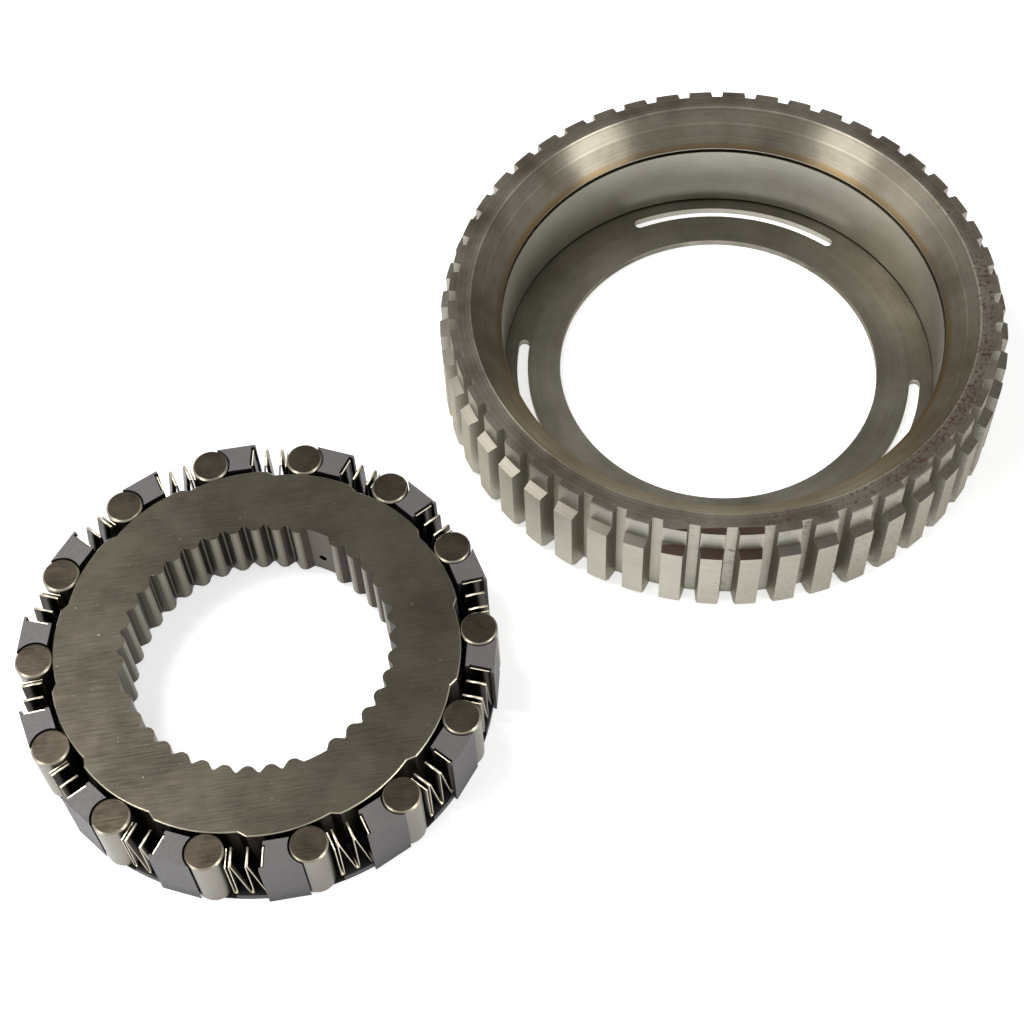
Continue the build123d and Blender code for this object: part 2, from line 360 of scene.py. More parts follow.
@dataclass(frozen=True)
class MouldedNylon(Finish):
    """Glass-filled nylon, injection moulded in charcoal.

    To the eye: dull violet grey with a faint grain and round ejector marks, nearly black where little light
    gets in.
    """

    top_colour: str
    side_colour: str
    shade_colour: str
    block_count: int
    first_mark_angle: float
    mark_reach_mm: float
    mark_size_mm: float = 3.2
    mark_line_mm: float = 0.35
    # The moulded grain is finer than this in fact and is drawn as coarse as it needs to show
    grain_mm: float = 0.35
    cloud_mm: float = 6.0
    shade_mm: float = 7.0

    def marks(self, tree: Tree, here: Socket) -> Socket:
        """Ring that an ejector pin leaves on the top of each block.

        Args:
            tree: the material's tree.
            here: coordinates about the cage's axis.

        Returns:
            A mask that is 1 on the rings.
        """
        spacing = 2 * math.pi / self.block_count
        x = add_node(tree, "ShaderNodeSeparateXYZ", {0: here}, "X")
        y = add_node(tree, "ShaderNodeSeparateXYZ", {0: here}, "Y")
        angle = add_node(tree, "ShaderNodeMath", {0: y, 1: x}, operation="ARCTAN2")
        start = math.radians(self.first_mark_angle) + spacing / 2
        shifted = add_node(tree, "ShaderNodeMath", {0: angle, 1: start}, operation="SUBTRACT")
        turned = add_node(tree, "ShaderNodeMath", {0: shifted, 1: spacing}, operation="FLOORED_MODULO")
        beside = add_node(tree, "ShaderNodeMath", {0: turned, 1: spacing / 2}, operation="SUBTRACT")
        radius = self.radius(tree, here)
        across = add_node(tree, "ShaderNodeMath", {0: beside, 1: radius}, operation="MULTIPLY")
        out = add_node(tree, "ShaderNodeMath", {0: radius, 1: mm(self.mark_reach_mm)}, operation="SUBTRACT")
        spot = add_node(tree, "ShaderNodeCombineXYZ", {0: across, 1: out})
        away = add_node(tree, "ShaderNodeVectorMath", {0: spot}, "Value", operation="LENGTH")
        feeds = {0: away, 1: mm(self.mark_size_mm / 2), 2: mm(self.mark_line_mm / 2)}
        return add_node(tree, "ShaderNodeMath", feeds, operation="COMPARE")

    def dress(self, tree: Tree) -> dict[str, Any]:
        """Grained faces with clouds and marks, dark in the spring bays.

        Args:
            tree: the material's tree.

        Returns:
            The shader's inputs by name.
        """
        here = self.place(tree)
        grain = add_node(tree, "ShaderNodeTexNoise", {"Vector": here, "Scale": per_size(self.grain_mm)})
        feeds = {"Vector": here, "Scale": per_size(self.cloud_mm), "Detail": 6.0, "Roughness": 0.6}
        clouds = add_node(tree, "ShaderNodeTexNoise", feeds)
        clouded = add_node(tree, "ShaderNodeMapRange", {"Value": clouds, "From Min": 0.4, "From Max": 0.75})
        feeds = {0: clouded, 6: linear(self.top_colour), 7: linear(self.side_colour)}
        top = add_node(tree, "ShaderNodeMix", feeds, 2, data_type="RGBA")
        share = add_node(tree, "ShaderNodeMath", {0: self.marks(tree, here), 1: 0.5}, operation="MULTIPLY")
        feeds = {0: share, 6: top, 7: linear(self.side_colour)}
        top = add_node(tree, "ShaderNodeMix", feeds, 2, data_type="RGBA")
        feeds = {0: self.facing(tree, Face.UPWARD), 6: linear(self.side_colour), 7: top}
        face = add_node(tree, "ShaderNodeMix", feeds, 2, data_type="RGBA")
        feeds = {0: self.open_air(tree, self.shade_mm, 0.45, 0.9), 6: linear(self.shade_colour), 7: face}
        satin = {"Value": grain, "From Min": 0.3, "From Max": 0.7, "To Min": 0.4, "To Max": 0.6}
        return {
            "Base Color": add_node(tree, "ShaderNodeMix", feeds, 2, data_type="RGBA"),
            "IOR": 1.53,
            "Roughness": add_node(tree, "ShaderNodeMapRange", satin),
            "Normal": add_node(tree, "ShaderNodeBump", {"Height": grain, "Distance": mm(0.012)}),
        }


@dataclass(frozen=True)
class RolledRibbon(Finish):
    """Spring steel ribbon, cold rolled, with a painted highlight on its slit edges and crowns.

    To the eye: pale cream painted highlights on the edges and crowns, and a painted dark reflection on the
    flats.
    """

    edge_highlight_colour: str
    flat_reflection_colour: str
    # Rolling lines are finer than this in fact and are drawn as coarse as they need to show
    line_mm: float = 0.25

    def dress(self, tree: Tree) -> dict[str, Any]:
        """Painted highlight where the ribbon faces outwards or up, painted dark reflection on its flats.

        Args:
            tree: the material's tree.

        Returns:
            The shader's inputs by name.
        """
        here = self.place(tree)
        lines = add_node(tree, "ShaderNodeTexNoise", {"Vector": here, "Scale": per_size(self.line_mm)})
        normal = add_node(tree, "ShaderNodeNewGeometry", out="Normal")
        feeds = {0: normal, 1: self.around(tree, here)}
        flat = add_node(tree, "ShaderNodeVectorMath", feeds, "Value", operation="DOT_PRODUCT")
        on_flat = add_node(tree, "ShaderNodeMath", {0: flat}, operation="ABSOLUTE")
        on_flat = add_node(tree, "ShaderNodeMapRange", {"Value": on_flat, "From Min": 0.45, "From Max": 0.75})
        # Painted highlight on edges and crowns, painted dark reflection on the flats
        feeds = {0: on_flat, 6: linear(self.edge_highlight_colour), 7: linear(self.flat_reflection_colour)}
        satin = {"Value": lines, "From Min": 0.3, "From Max": 0.7, "To Min": 0.3, "To Max": 0.42}
        return {
            "Base Color": add_node(tree, "ShaderNodeMix", feeds, 2, data_type="RGBA"),
            "Metallic": 1.0,
            "Roughness": add_node(tree, "ShaderNodeMapRange", satin),
            "Normal": add_node(tree, "ShaderNodeBump", {"Height": lines, "Distance": mm(0.003)}),
        }


@dataclass(frozen=True)
class TurnedWornSteel(Finish):
    """Turned and hobbed steel that has run in oil: bright teeth, browned mouth, a little rust.

    To the eye: satin pale teeth, darker cones with ring marks, a straw-coloured heat line above the groove
    and red-brown specks on the exposed rim; walls lighter and tops darker partly through painted light,
    bright edge lines as painted highlights, a painted dark reflection on the front shoulders, painted shade
    in corners.
    """

    centre: Vector
    hole_radius_mm: float
    lip_radius_mm: float
    lead_in_radius_mm: float
    mouth_radius_mm: float
    rim_radius_mm: float
    upper_tooth_radius_mm: float
    tooth_colour: str
    rim_colour: str
    rim_stain: str
    cone_colour: str
    cone_stain: str
    floor_colour: str
    floor_stain: str
    wall_colour: str
    wall_stain: str
    straw_colour: str
    rust_colour: str
    edge_highlight_colour: str
    shoulder_colour: str
    shoulder_dark_reflection_colour: str
    graze_colour: str
    corner_shade_colour: str
    dark_reflection_teeth_mm: Pair = (-22.6, 7.2)
    ramp_mm: Pair = (40.0, 80.0)
    # Turning marks are finer than this in fact and are drawn as coarse as they need to show
    ring_mm: float = 0.8
    speck_mm: float = 1.1
    rust_patch_mm: float = 11.0
    patch_mm: float = 26.0
    corner_shade_mm: float = 3.0
    straw_width_mm: float = 1.5
    exposed_side: Triple = (0.85, -0.5, 0.0)
    # Added to the rust pattern on the race's middle line and at its exposed side
    exposure: Pair = (-0.26, -0.06)
    exposure_reach_mm: float = 72.0
    coarse_roughness: float = 0.36
    fine_roughness: float = 0.24
    anisotropy: float = 0.8

    def bands(self, tree: Tree, radius: Socket, colours: dict[float, str]) -> Socket:
        """Colour the race in bands about its axis.

        Args:
            tree: the material's tree.
            radius: distance from the axis.
            colours: hex colours by radius in millimetres; each runs into the next.

        Returns:
            The colour.
        """
        near, far = self.ramp_mm
        feeds = {"Value": radius, "From Min": mm(near), "From Max": mm(far)}
        share = add_node(tree, "ShaderNodeMapRange", feeds)
        stops = {(place - near) / (far - near): linear(colour) for place, colour in colours.items()}
        return add_node(tree, "ShaderNodeValToRGB", {0: share}, stops=stops)

    def dark_reflection_teeth(self, tree: Tree, here: Socket) -> Socket:
        """Mask of the few front teeth whose shoulders get a painted dark reflection.

        Args:
            tree: the material's tree.
            here: coordinates about the race's axis.

        Returns:
            The mask, 1 on those teeth beyond the rim.
        """
        low, high = self.dark_reflection_teeth_mm
        beside = add_node(tree, "ShaderNodeSeparateXYZ", {0: here}, "X")
        front = add_node(tree, "ShaderNodeSeparateXYZ", {0: here}, "Y")
        feeds = {0: front, 1: -mm(self.rim_radius_mm)}
        front = add_node(tree, "ShaderNodeMath", feeds, operation="LESS_THAN")
        feeds = {0: beside, 1: mm((low + high) / 2), 2: mm((high - low) / 2)}
        near = add_node(tree, "ShaderNodeMath", feeds, operation="COMPARE")
        return add_node(tree, "ShaderNodeMath", {0: front, 1: near}, operation="MULTIPLY")

    def rust(self, tree: Tree, here: Socket, radius: Socket) -> Socket:
        """Pits and rust, which gather on the exposed side of the rim.

        Args:
            tree: the material's tree.
            here: coordinates about the race's axis.
            radius: distance from that axis.

        Returns:
            A mask that is 1 on the rust.
        """
        feeds = {"Vector": here, "Scale": per_size(self.rust_patch_mm), "Detail": 5.0, "Roughness": 0.6}
        clumps = add_node(tree, "ShaderNodeTexNoise", feeds)
        feeds = {0: here, 1: self.exposed_side}
        side = add_node(tree, "ShaderNodeVectorMath", feeds, "Value", operation="DOT_PRODUCT")
        middle, outside = self.exposure
        feeds = {"Value": side, "From Max": mm(self.exposure_reach_mm), "To Min": middle, "To Max": outside}
        exposed = add_node(tree, "ShaderNodeMapRange", feeds)
        feeds = {0: clumps, 1: 0.35, 2: exposed}
        exposed = add_node(tree, "ShaderNodeMath", feeds, operation="MULTIPLY_ADD")
        feeds = {"Vector": here, "Scale": per_size(self.speck_mm), "Detail": 7.0, "Roughness": 0.6}
        specks = add_node(tree, "ShaderNodeTexNoise", feeds)
        gathered = add_node(tree, "ShaderNodeMath", {0: specks, 1: exposed}, operation="ADD")
        rusty = add_node(tree, "ShaderNodeMapRange", {"Value": gathered, "From Min": 0.6, "From Max": 0.7})
        # Greys stand for shares here: the cones stay clean, and the teeth and their gaps are wiped
        rim = self.rim_radius_mm
        shares = {
            rim - 6: "#000000",
            rim - 3: "#ffffff",
            rim - 0.4: "#ffffff",
            rim - 0.1: "#b0b0b0",
            rim + 1: "#7a7a7a",
        }
        share = self.bands(tree, radius, shares)
        return add_node(tree, "ShaderNodeMath", {0: rusty, 1: share}, operation="MULTIPLY")

    def colour(self, tree: Tree, here: Socket, radius: Socket, worn: Socket, rusty: Socket) -> Socket:
        """Bands by radius on what faces up, lighter walls, a painted dark reflection on front shoulders and
        painted shade in corners.

        Args:
            tree: the material's tree.
            here: coordinates about the race's axis.
            radius: distance from that axis.
            worn: pattern of stains.
            rusty: mask of the rust.

        Returns:
            The colour.
        """
        hole, lip, lead_in = self.hole_radius_mm, self.lip_radius_mm, self.lead_in_radius_mm
        mouth, tip = self.mouth_radius_mm, self.upper_tooth_radius_mm
        # Painted highlights: the edge colour draws bright lines at the lead-in and at the mouth
        clean = {
            lip - 0.6: self.floor_colour,
            lip - 0.3: self.cone_stain,
            lip + self.straw_width_mm / 3: self.straw_colour,
            lip + self.straw_width_mm: self.cone_colour,
            lead_in - 0.15: self.cone_colour,
            lead_in: self.edge_highlight_colour,
            lead_in + 0.2: self.cone_colour,
            mouth - 0.25: self.cone_colour,
            mouth - 0.1: self.edge_highlight_colour,
            mouth + 0.15: self.edge_highlight_colour,
            mouth + 0.35: self.rim_colour,
            tip: self.rim_colour,
            tip + 0.2: self.shoulder_colour,
        }
        stained = {
            lip - 0.6: self.floor_stain,
            lip - 0.3: self.cone_stain,
            mouth: self.cone_stain,
            mouth + 0.3: self.rim_stain,
            tip: self.rim_stain,
            tip + 0.2: self.shoulder_colour,
        }
        upright = {
            hole + 1: self.floor_colour,
            hole + 4: self.wall_colour,
            lip + 1: self.wall_colour,
            lip + 3: self.tooth_colour,
        }
        share = add_node(tree, "ShaderNodeMapRange", {"Value": worn, "From Min": 0.54, "From Max": 0.82})
        feeds = {0: share, 6: self.bands(tree, radius, clean), 7: self.bands(tree, radius, stained)}
        sloping = add_node(tree, "ShaderNodeMix", feeds, 2, data_type="RGBA")
        # Painted dark reflection on the shoulders of the front teeth
        feeds = {0: self.dark_reflection_teeth(tree, here), 6: sloping, 7: linear(self.shoulder_dark_reflection_colour)}
        sloping = add_node(tree, "ShaderNodeMix", feeds, 2, data_type="RGBA")
        feeds = {0: share, 6: self.bands(tree, radius, upright), 7: linear(self.wall_stain)}
        wall = add_node(tree, "ShaderNodeMix", feeds, 2, data_type="RGBA")
        # Partly painted light: walls and teeth take lighter tones than the faces that look up, besides the
        # stains and rust
        feeds = {0: self.facing(tree, Face.SLOPING_OR_UPWARD), 6: wall, 7: sloping}
        dressed = add_node(tree, "ShaderNodeMix", feeds, 2, data_type="RGBA")
        feeds = {0: rusty, 6: dressed, 7: linear(self.rust_colour)}
        dressed = add_node(tree, "ShaderNodeMix", feeds, 2, data_type="RGBA")
        # Painted shade: near black wherever ambient occlusion finds walls close by
        feeds = {0: self.open_air(tree, self.corner_shade_mm, 0.1, 0.5), 6: linear(self.corner_shade_colour), 7: dressed}
        return add_node(tree, "ShaderNodeMix", feeds, 2, data_type="RGBA")

    def dress(self, tree: Tree) -> dict[str, Any]:
        """Bands by radius and slope, ring marks on what was turned, rust on the exposed side of the rim.

        Args:
            tree: the material's tree.

        Returns:
            The shader's inputs by name.
        """
        here = self.place(tree, self.centre)
        radius = self.radius(tree, here)
        height = add_node(tree, "ShaderNodeSeparateXYZ", {0: here}, "Z")
        lathe = add_node(tree, "ShaderNodeCombineXYZ", {0: radius, 1: height})
        feeds = {"Vector": lathe, "Scale": per_size(self.ring_mm), "Detail": 5.0, "Roughness": 0.6}
        rings = add_node(tree, "ShaderNodeTexNoise", feeds)
        feeds = {"Vector": here, "Scale": per_size(self.patch_mm), "Detail": 7.0, "Roughness": 0.62}
        patches = add_node(tree, "ShaderNodeTexNoise", feeds)
        worn = add_node(tree, "ShaderNodeMath", {0: rings, 1: 0.35, 2: patches}, operation="MULTIPLY_ADD")
        rusty = self.rust(tree, here, radius)
        # The cones of the mouth were turned finer than the raceway was ground or the teeth were hobbed
        middle = (self.lip_radius_mm + self.mouth_radius_mm) / 2
        half = (self.mouth_radius_mm - self.lip_radius_mm) / 2 + 0.3
        feeds = {0: radius, 1: mm(middle), 2: mm(half)}
        fine = add_node(tree, "ShaderNodeMath", feeds, operation="COMPARE")
        feeds = {"Value": fine, "To Min": self.coarse_roughness, "To Max": self.fine_roughness}
        smooth = add_node(tree, "ShaderNodeMapRange", feeds)
        satin = add_node(tree, "ShaderNodeMath", {0: rings, 1: 0.12, 2: smooth}, operation="MULTIPLY_ADD")
        rough = add_node(tree, "ShaderNodeMath", {0: rusty, 1: 0.35, 2: satin}, operation="MULTIPLY_ADD")
        brushed = add_node(tree, "ShaderNodeMath", {0: fine, 1: self.anisotropy}, operation="MULTIPLY")
        return {
            "Base Color": self.colour(tree, here, radius, worn, rusty),
            "Metallic": add_node(tree, "ShaderNodeMapRange", {"Value": rusty, "To Min": 1.0, "To Max": 0.15}),
            "Roughness": rough,
            "Anisotropic": brushed,
            # A quarter turn draws the highlights out across the turning marks, not along them
            "Anisotropic Rotation": 0.25,
            "Tangent": self.around(tree, here),
            # The oil film keeps the steel dark where it is seen at a flat angle
            "Specular Tint": linear(self.graze_colour),
            "Normal": add_node(tree, "ShaderNodeBump", {"Height": rings, "Distance": mm(0.006)}),
        }


def dress_node(node: bpy.types.Object, made: bpy.types.Material) -> None:
    """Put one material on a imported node."""
    node.data.materials.clear()
    node.data.materials.append(made)


@dataclass
class CamRing:
    """The splined ring with the ramps."""

    crest_radius_mm: float = 33.4
    finish: GroundSteel = GroundSteel(
        name="ground_cam_steel",
        end_colour="#433f36",
        end_stain="#302c26",
        nick_and_highlight_colour="#a19b89",
        wall_colour="#757063",
        recess_shade_colour="#544d44",
        flank_shade_colour="#33261e",
        corner_shade_colour="#15100d",
        crest_radius_mm=crest_radius_mm,
    )

    def build(self, nodes: dict[str, bpy.types.Object]) -> None:
        """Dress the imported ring."""
        dress_node(nodes["cam_ring"], self.finish.material())
        log.info("cam_ring dressed")


@dataclass
class RollerSet:
    """The cylindrical rollers."""

    count: int = STATION_COUNT
    finish: GroundSteel = GroundSteel(
        name="centreless_ground_roller_steel",
        end_colour="#39332b",
        end_stain="#231f19",
        nick_and_highlight_colour="#8e8878",
        wall_colour="#7d786f",
        recess_shade_colour="#7d786f",
        flank_shade_colour="#7d786f",
        corner_shade_colour="#3a3029",
        roughness=(0.3, 0.42),
        nick_from=0.74,
        stain_mm=8.0,
        corner_shade_mm=1.2,
    )

    def build(self, nodes: dict[str, bpy.types.Object]) -> None:
        """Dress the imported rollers.

        Args:
            nodes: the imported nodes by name.
        """
        made = self.finish.material()
        for number in range(1, self.count + 1):
            dress_node(nodes[f"roller_{number:02d}"], made)
        log.info("%d rollers dressed", self.count)


@dataclass
class RollerCage:
    """The moulded cage."""

    finish: MouldedNylon = MouldedNylon(
        name="moulded_nylon",
        top_colour="#4e4847",
        side_colour="#433f3e",
        shade_colour="#070506",
        block_count=STATION_COUNT,
        first_mark_angle=73.2,
        mark_reach_mm=56.6,
    )

    def build(self, nodes: dict[str, bpy.types.Object]) -> None:
        """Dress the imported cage."""
        dress_node(nodes["roller_cage"], self.finish.material())
        log.info("roller_cage dressed")


@dataclass
class SpringSet:
    """The folded ribbon springs, each between a roller and the next block."""

    count: int = STATION_COUNT
    fold_count: int = 2
    first_ray: float = 89.2
    leaf_side_mm: float = -3.71
    end_side_mm: float = 5.14
    inner_reach_mm: float = 53.95
    width_mm: float = 5.0
    thickness_mm: float = 0.28
    foot_mm: float = 2.55
    crown_mm: float = 19.75
    leaf_drop_mm: float = 0.7
    foot_width_mm: float = 0.85
    crown_width_mm: float = 0.5
    crown_lead_mm: float = 0.1
    foot_fillet_mm: float = 0.40
    crown_fillet_mm: float = 0.24
    # Share of its length that a spring keeps when its roller is all the way back
    keep: float = 0.8
    # Edge and crown colour is a painted highlight, flat colour a painted dark reflection
    finish: RolledRibbon = RolledRibbon("rolled_spring_steel", "#d9cfb6", "#2c2520")

    def build(self, nodes: dict[str, bpy.types.Object]) -> None:
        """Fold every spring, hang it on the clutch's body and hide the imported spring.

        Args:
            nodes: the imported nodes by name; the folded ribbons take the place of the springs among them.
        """
        tree = self.tree(self.finish.material())
        spacing = 360.0 / self.count
        for index in range(self.count):
            ray = self.first_ray - index * spacing
            spring = self.fold(tree, f"ribbon_spring_{index + 1:02d}", ray)
            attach(spring, "clutch")
            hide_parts(f"spring_{index + 1:02d}")
            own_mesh(spring)
        log.info("%d ribbon springs folded", self.count)

    def sizes(self, ray: float) -> dict[str, float]:
        """Name the tree's inputs and give their values.

        Args:
            ray: the angle of the spring's ray about the cam's axis, in degrees.

        Returns:
            The values by input name, in metres and radians.
        """
        return {
            "Leaf side": mm(self.leaf_side_mm),
            "End side": mm(self.end_side_mm),
            "Inner reach": mm(self.inner_reach_mm),
            "Width": mm(self.width_mm),
            "Thickness": mm(self.thickness_mm),
            "Foot": mm(self.foot_mm),
            "Crown": mm(self.crown_mm),
            "Leaf drop": mm(self.leaf_drop_mm),
            "Foot width": mm(self.foot_width_mm),
            "Crown width": mm(self.crown_width_mm),
            "Crown lead": mm(self.crown_lead_mm),
            "Foot fillet": mm(self.foot_fillet_mm),
            "Crown fillet": mm(self.crown_fillet_mm),
            "Ray angle": math.radians(ray),
        }

    def bends(self, tree: Tree, given: dict[str, Socket]) -> tuple[Socket, Socket, Socket]:
        """Rule for the points of the fold: after the first leaf's end they run in pairs, foot, crown, foot.

        Args:
            tree: the ribbon's tree.
            given: outputs of the tree's own inputs by name.

        Returns:
            The distance to the side of each point, its height and its fillet radius.
        """
        index = add_node(tree, "GeometryNodeInputIndex")
        step = add_node(tree, "ShaderNodeMath", {0: index, 1: 1.0}, operation="ADD")
        half = add_node(tree, "ShaderNodeMath", {0: step, 1: 2.0}, operation="DIVIDE")
        pair = add_node(tree, "ShaderNodeMath", {0: half}, operation="FLOOR")
        foot = add_node(tree, "ShaderNodeMath", {0: pair, 1: 2.0}, operation="MODULO")
        second = add_node(tree, "ShaderNodeMath", {0: step, 1: 2.0}, operation="MODULO")
        feeds = {0: given["End side"], 1: given["Leaf side"]}
        length = add_node(tree, "ShaderNodeMath", feeds, operation="SUBTRACT")
        room = add_node(tree, "ShaderNodeMath", {0: length, 1: given["Foot width"]}, operation="SUBTRACT")
        pitch = add_node(tree, "ShaderNodeMath", {0: room, 1: float(self.fold_count)}, operation="DIVIDE")
        before = add_node(tree, "ShaderNodeMath", {0: pair, 1: 1.0}, operation="SUBTRACT")
        folds = add_node(tree, "ShaderNodeMath", {0: before, 1: 2.0}, operation="DIVIDE")
        folds = add_node(tree, "ShaderNodeMath", {0: folds}, operation="FLOOR")
        feeds = {0: folds, 1: pitch, 2: given["Leaf side"]}
        start = add_node(tree, "ShaderNodeMath", feeds, operation="MULTIPLY_ADD")
        feeds = {0: second, 1: given["Foot width"], 2: start}
        foot_side = add_node(tree, "ShaderNodeMath", feeds, operation="MULTIPLY_ADD")
        past_foot = add_node(tree, "ShaderNodeMath", {0: start, 1: given["Foot width"]}, operation="ADD")
        first = add_node(tree, "ShaderNodeMath", {0: past_foot, 1: given["Crown lead"]}, operation="ADD")
        feeds = {0: second, 1: given["Crown width"], 2: first}
        crown_side = add_node(tree, "ShaderNodeMath", feeds, operation="MULTIPLY_ADD")
        side = add_node(tree, "ShaderNodeMix", {0: foot, 2: crown_side, 3: foot_side})
        side = add_node(tree, "ShaderNodeMath", {0: side, 1: given["Leaf side"]}, operation="MAXIMUM")
        side = add_node(tree, "ShaderNodeMath", {0: side, 1: given["End side"]}, operation="MINIMUM")
        leaf = add_node(tree, "ShaderNodeMath", {0: index, 1: 0.0, 2: 0.1}, operation="COMPARE")
        drop = add_node(tree, "ShaderNodeMath", {0: leaf, 1: given["Leaf drop"]}, operation="MULTIPLY")
        crown = add_node(tree, "ShaderNodeMath", {0: given["Crown"], 1: drop}, operation="SUBTRACT")
        height = add_node(tree, "ShaderNodeMix", {0: foot, 2: crown, 3: given["Foot"]})
        fillet = add_node(tree, "ShaderNodeMix", {0: foot, 2: given["Crown fillet"], 3: given["Foot fillet"]})
        return side, height, fillet

    def tree(self, made: bpy.types.Material) -> Tree:
        """Geometry Nodes tree that folds one ribbon by its rule and turns it to its ray.

        Args:
            made: the ribbon's material.

        Returns:
            The tree, with named inputs for its sizes.
        """
        tree = bpy.data.node_groups.new("folded_ribbon", "GeometryNodeTree")
        tree.interface.new_socket("Geometry", in_out="OUTPUT", socket_type="NodeSocketGeometry")
        for name in self.sizes(0.0):
            tree.interface.new_socket(name, in_out="INPUT", socket_type="NodeSocketFloat")
        given = {name: add_node(tree, "NodeGroupInput", out=name) for name in self.sizes(0.0)}
        side, height, fillet = self.bends(tree, given)
        where = add_node(tree, "ShaderNodeCombineXYZ", {"Y": side, "Z": height})
        # Two points for each crown, two for each foot, of which there is one more, and one for each end
        line = add_node(tree, "GeometryNodeMeshLine", {"Count": 4 * self.fold_count + 4})
        path = add_node(tree, "GeometryNodeMeshToCurve", {"Mesh": line})
        placed = add_node(tree, "GeometryNodeSetPosition", {"Geometry": path, "Position": where})
        feeds = {"Curve": placed, "Radius": fillet, "Count": 5, "Limit Radius": True}
        rounded = add_node(tree, "GeometryNodeFilletCurve", feeds, mode="POLY")
        feeds = {"Width": given["Width"], "Height": given["Thickness"]}
        section = add_node(tree, "GeometryNodeCurvePrimitiveQuadrilateral", feeds)
        feeds = {"Curve": rounded, "Profile Curve": section, "Fill Caps": True}
        ribbon = add_node(tree, "GeometryNodeCurveToMesh", feeds)
        feeds = {0: given["Width"], 1: 0.5, 2: given["Inner reach"]}
        reach = add_node(tree, "ShaderNodeMath", feeds, operation="MULTIPLY_ADD")
        out = add_node(tree, "ShaderNodeCombineXYZ", {"X": reach})
        moved = add_node(tree, "GeometryNodeTransform", {"Geometry": ribbon, "Translation": out})
        spin = add_node(tree, "ShaderNodeCombineXYZ", {"Z": given["Ray angle"]})
        turned = add_node(tree, "GeometryNodeTransform", {"Geometry": moved, "Rotation": spin})
        real = add_node(tree, "GeometryNodeRealizeInstances", {"Geometry": turned})
        dressed = add_node(tree, "GeometryNodeSetMaterial", {"Geometry": real, "Material": made})
        add_node(tree, "NodeGroupOutput", {"Geometry": dressed})
        return tree

    def fold(self, tree: Tree, name: str, ray: float) -> bpy.types.Object:
        """Run the tree for one spring and keep the result as a plain mesh.

        Args:
            tree: the ribbon's Geometry Nodes tree.
            name: the new object's name.
            ray: the angle of the spring's ray about the cam's axis, in degrees.

        Returns:
            The finished object, at the origin.
        """
        carrier = bpy.data.objects.new(name + "_carrier", bpy.data.meshes.new(name + "_seed"))
        bpy.context.scene.collection.objects.link(carrier)
        modifier = carrier.modifiers.new("fold", "NODES")
        modifier.node_group = tree
        sizes = self.sizes(ray)
        for item in tree.interface.items_tree:
            if item.in_out == "INPUT":
                modifier[item.identifier] = sizes[item.name]
        evaluated = carrier.evaluated_get(bpy.context.evaluated_depsgraph_get())
        mesh = bpy.data.meshes.new_from_object(evaluated)
        bpy.data.objects.remove(carrier)
        mesh.name = name
        spring = bpy.data.objects.new(name, mesh)
        bpy.context.scene.collection.objects.link(spring)
        return spring


@dataclass
class OuterRace:
    """The toothed race laid beside the clutch."""

    hole_radius_mm: float = 45.0
    lip_radius_mm: float = 61.2
    lead_in_radius_mm: float = 66.0
    mouth_radius_mm: float = 69.1
    rim_radius_mm: float = 73.0
    upper_tooth_radius_mm: float = 75.1

    def finish(self) -> TurnedWornSteel:
        """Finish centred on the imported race's own axis.

        Returns:
            The finish.
        """
        low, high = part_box("outer_race")
        centre = (low + high) / 2
        return TurnedWornSteel(
            name="turned_race_steel",
            centre=Vector((centre.x, centre.y, 0)),
            hole_radius_mm=self.hole_radius_mm,
            lip_radius_mm=self.lip_radius_mm,
            lead_in_radius_mm=self.lead_in_radius_mm,
            mouth_radius_mm=self.mouth_radius_mm,
            rim_radius_mm=self.rim_radius_mm,
            upper_tooth_radius_mm=self.upper_tooth_radius_mm,
            tooth_colour="#afaca2",
            rim_colour="#68635a",
            rim_stain="#453e36",
            cone_colour="#757064",
            cone_stain="#585146",
            floor_colour="#68645a",
            floor_stain="#524e45",
            wall_colour="#b2afa5",
            wall_stain="#a09c92",
            straw_colour="#6c5631",
            rust_colour="#40291f",
            edge_highlight_colour="#958f80",
            shoulder_colour="#5b574f",
            shoulder_dark_reflection_colour="#3f332c",
            graze_colour="#c9c2b4",
            corner_shade_colour="#16100d",
        )

    def build(self, nodes: dict[str, bpy.types.Object]) -> None:
        """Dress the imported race."""
        dress_node(nodes["outer_race"], self.finish().material())
        log.info("outer_race dressed")


@dataclass(frozen=True)
class Softbox:
    """A square soft lamp; place and side are in metres, power in watts."""

    name: str
    place: Triple
    side: float
    power: float

    def hang(self, aim: Vector) -> None:
        """Hang the lamp and turn it to a point.

        Args:
            aim: the point, in metres.
        """
        data = bpy.data.lights.new(self.name, "AREA")
        data.size = self.side
        data.energy = self.power
        lamp = bpy.data.objects.new(self.name, data)
        bpy.context.scene.collection.objects.link(lamp)
        lamp.location = self.place
        lamp.rotation_mode = "QUATERNION"
        lamp.rotation_quaternion = (aim - Vector(self.place)).to_track_quat("-Z", "Y")


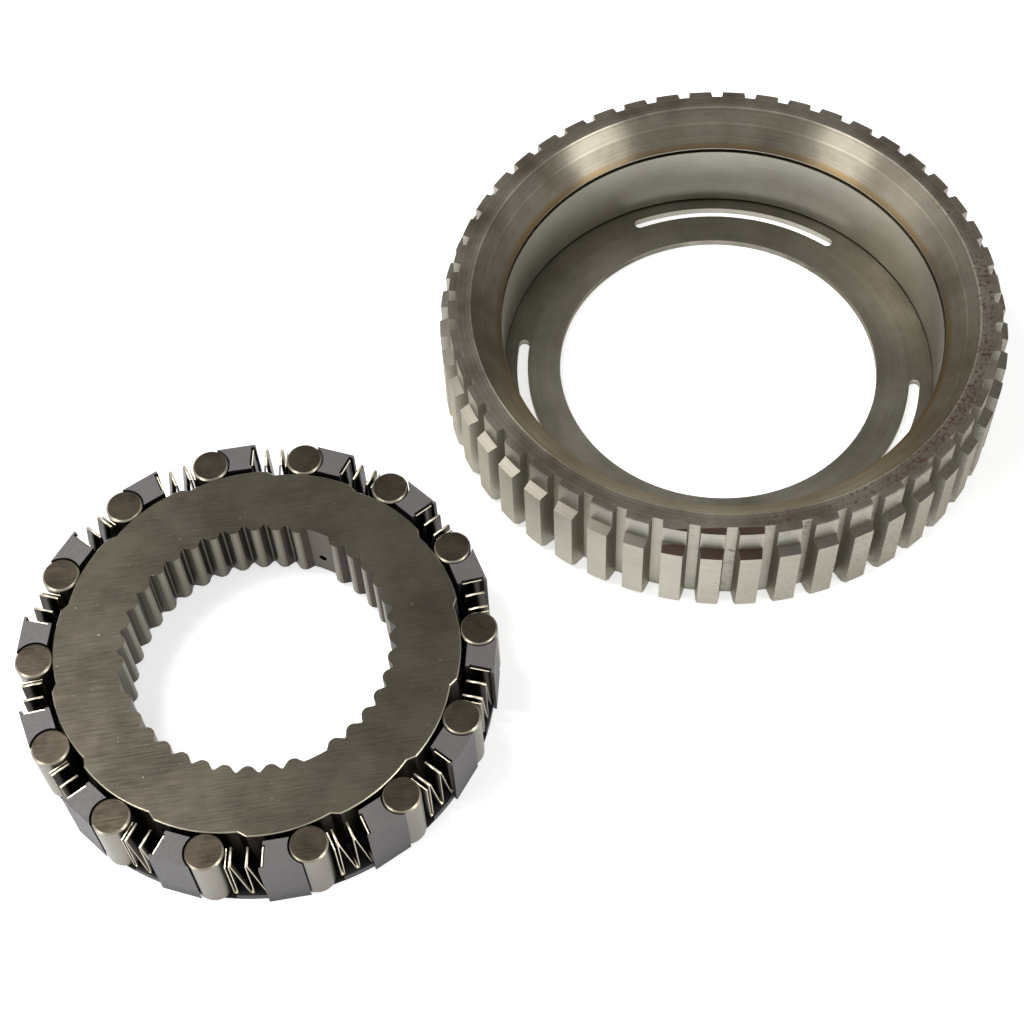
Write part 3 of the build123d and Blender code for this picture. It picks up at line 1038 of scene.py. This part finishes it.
@dataclass
class Studio:
    """Floor, soft lamps, pale world and the camera."""

    image_px: int = 1024
    focal_px: float = 1984.9
    principal_px: Pair = (553.5, 512.0)
    sensor_mm: float = 36.0
    camera_place_mm: Triple = (75.5, -233.65, 463.08)
    pitch_down: float = 58.575
    roll: float = 1.461
    floor_size: float = 4.0
    floor_drop_mm: float = 0.05
    aim_mm: Triple = (70.0, 55.0, 10.0)
    lamps: tuple[Softbox, ...] = (
        Softbox("overhead_left_softbox", (-0.57, 0.28, 1.1), 0.5, 14.5),
        Softbox("left_front_softbox", (-0.75, -0.57, 0.46), 0.42, 4.8),
        Softbox("right_front_softbox", (0.98, -0.55, 0.43), 0.42, 4.8),
    )
    paper_colour: str = "#e6e6e6"
    paper_glow: float = 0.65
    even_light: float = 0.22
    seen_light: float = 1.0

    def build(self) -> None:
        """Make the whole stage."""
        self.floor()
        self.world()
        for lamp in self.lamps:
            lamp.hang(Vector(self.aim_mm) * mm(1.0))
        self.camera()
        log.info("studio ready")

    def seen(self, tree: Tree) -> Socket:
        """Mask for rays that show the background: straight from the camera, mirrored or through glass.

        Args:
            tree: the tree of the world or the floor's material.

        Returns:
            The mask.
        """
        straight = add_node(tree, "ShaderNodeLightPath", out="Is Camera Ray")
        mirrored = add_node(tree, "ShaderNodeLightPath", out="Is Glossy Ray")
        through = add_node(tree, "ShaderNodeLightPath", out="Is Transmission Ray")
        either = add_node(tree, "ShaderNodeMath", {0: straight, 1: mirrored}, operation="MAXIMUM")
        return add_node(tree, "ShaderNodeMath", {0: either, 1: through}, operation="MAXIMUM")

    def floor(self) -> None:
        """A plain white floor that keeps the object's shadow."""
        half = self.floor_size / 2
        z = -mm(self.floor_drop_mm)
        corners = [(-half, -half, z), (half, -half, z), (half, half, z), (-half, half, z)]
        mesh = bpy.data.meshes.new("floor")
        mesh.from_pydata(corners, [], [(0, 1, 2, 3)])
        floor = bpy.data.objects.new("floor", mesh)
        bpy.context.scene.collection.objects.link(floor)
        made = bpy.data.materials.new("white_paper_floor")
        made.use_nodes = True
        tree = made.node_tree
        tree.nodes.clear()
        paper = add_node(tree, "ShaderNodeBsdfDiffuse", {"Color": linear(self.paper_colour)})
        glow = add_node(tree, "ShaderNodeEmission", {"Strength": self.paper_glow})
        lit = add_node(tree, "ShaderNodeAddShader", {0: paper, 1: glow})
        either = add_node(tree, "ShaderNodeMixShader", {0: self.seen(tree), 1: paper, 2: lit})
        add_node(tree, "ShaderNodeOutputMaterial", {"Surface": either})
        mesh.materials.append(made)

    def world(self) -> None:
        """A dim even surround, white where it is seen."""
        world = bpy.data.worlds.new("pale_surround")
        bpy.context.scene.world = world
        world.use_nodes = True
        tree = world.node_tree
        tree.nodes.clear()
        white = linear("#ffffff")
        even = add_node(tree, "ShaderNodeBackground", {"Color": white, "Strength": self.even_light})
        bright = add_node(tree, "ShaderNodeBackground", {"Color": white, "Strength": self.seen_light})
        either = add_node(tree, "ShaderNodeMixShader", {0: self.seen(tree), 1: even, 2: bright})
        add_node(tree, "ShaderNodeOutputWorld", {"Surface": either})

    def camera(self) -> None:
        """The camera at the photograph's place and angle."""
        data = bpy.data.cameras.new("camera")
        data.sensor_width = self.sensor_mm
        data.lens = self.focal_px * self.sensor_mm / self.image_px
        data.shift_x = (self.image_px / 2 - self.principal_px[0]) / self.image_px
        data.shift_y = (self.principal_px[1] - self.image_px / 2) / self.image_px
        data.clip_start = 0.01
        data.clip_end = 20.0
        camera = bpy.data.objects.new("camera", data)
        bpy.context.scene.collection.objects.link(camera)
        camera.location = [mm(v) for v in self.camera_place_mm]
        camera.rotation_mode = "QUATERNION"
        tilt = Quaternion((1, 0, 0), math.radians(90 - self.pitch_down))
        camera.rotation_quaternion = tilt @ Quaternion((0, 0, 1), -math.radians(self.roll))
        bpy.context.scene.camera = camera


def main() -> None:
    """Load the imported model, dress it and set the stage."""
    logging.basicConfig(level=logging.INFO, format="%(message)s")
    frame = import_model()
    for piece in (CamRing(), RollerSet(), RollerCage(), SpringSet(), OuterRace()):
        piece.build(frame["nodes"])
    Studio().build()
    bpy.context.scene.view_settings.view_transform = "Standard"


if __name__ == "__main__":
    main()
